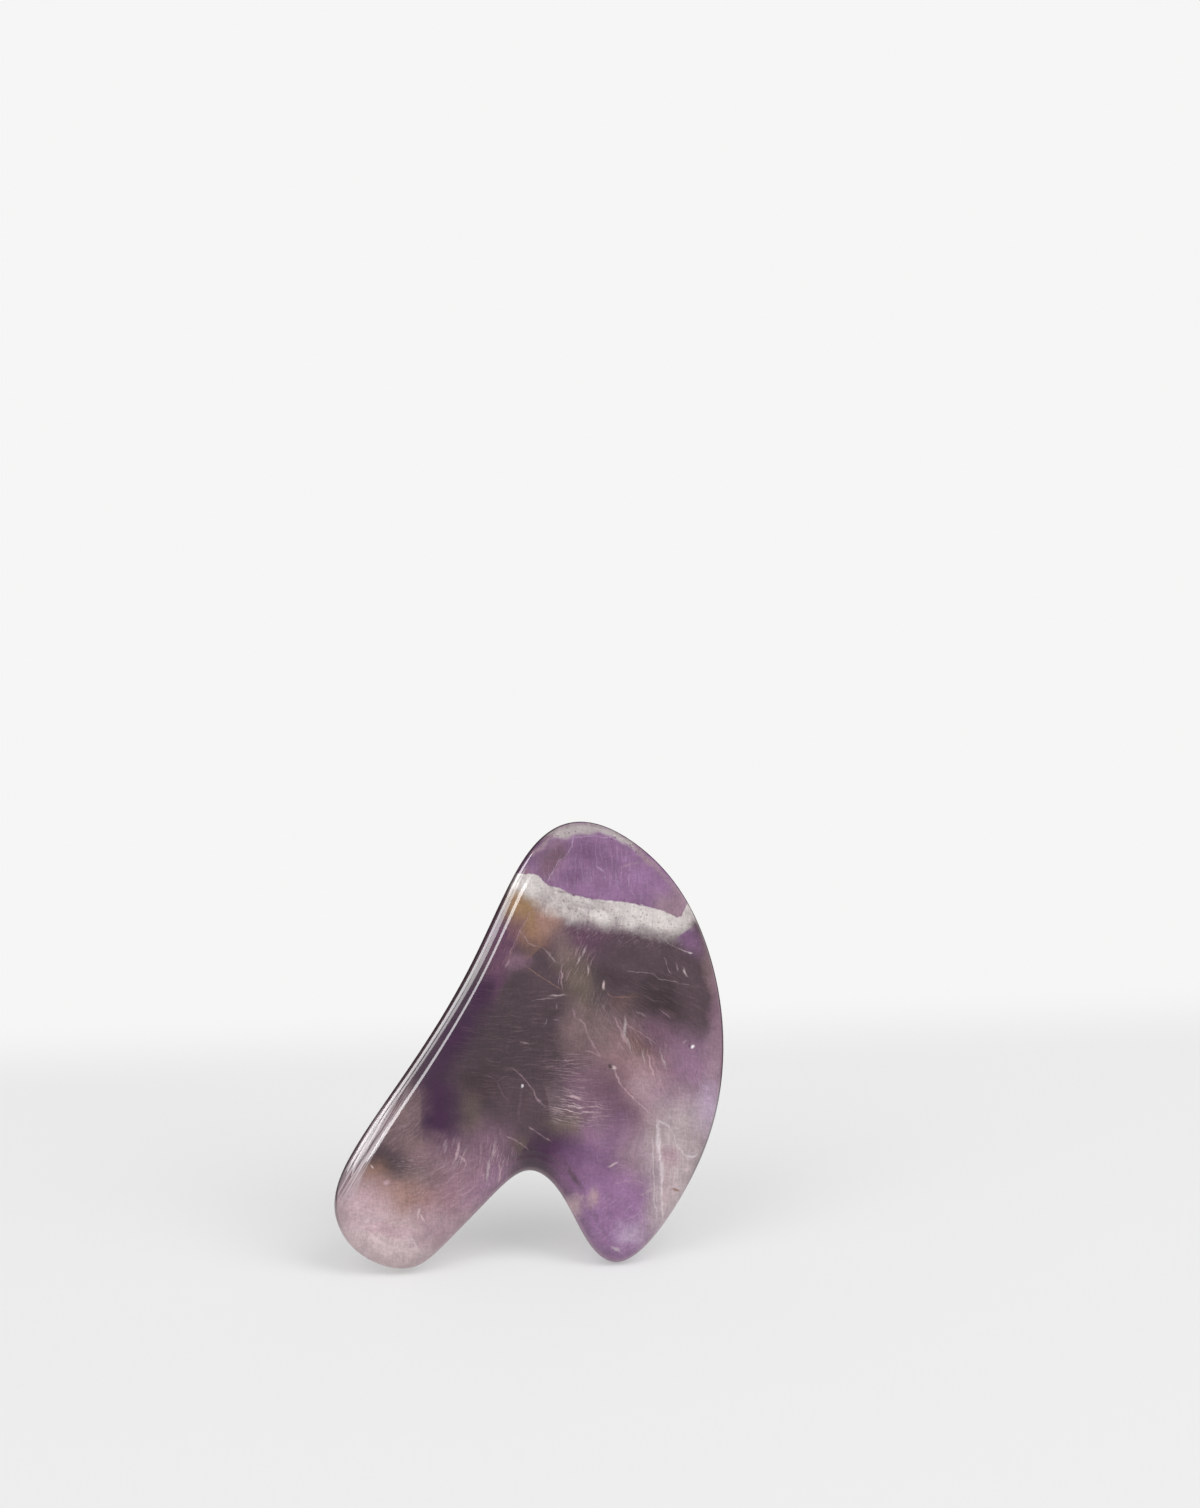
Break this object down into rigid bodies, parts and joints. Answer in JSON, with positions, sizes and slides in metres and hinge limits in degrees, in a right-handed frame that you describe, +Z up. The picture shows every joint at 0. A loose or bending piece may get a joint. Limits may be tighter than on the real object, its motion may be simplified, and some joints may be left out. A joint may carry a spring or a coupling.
{
  "type": "gua sha scraper",
  "caption": "Polished amethyst gua sha scraper: a flat curved slab with a long spine, a thin curved blade, and two rounded legs with a notch between them.",
  "frame": {"origin": "on the ground, under the middle of the part's box, with the scraper standing on its two toes", "axes": "+Z up, from the toes to the nose; +X across the slab, from the spine to the blade; the slab leans back 26 degrees towards +Y, so its front face looks towards -Y and a little up"},
  "size_m": [0.0718, 0.039, 0.0734],
  "materials": {
    "amethyst": "polished translucent banded amethyst: purple and smoky zones, a white quartz band across the nose, a pale pink toe"
  },
  "bodies": {
    "root": {"amethyst_slab": "amethyst"}
  },
  "joints": []
}
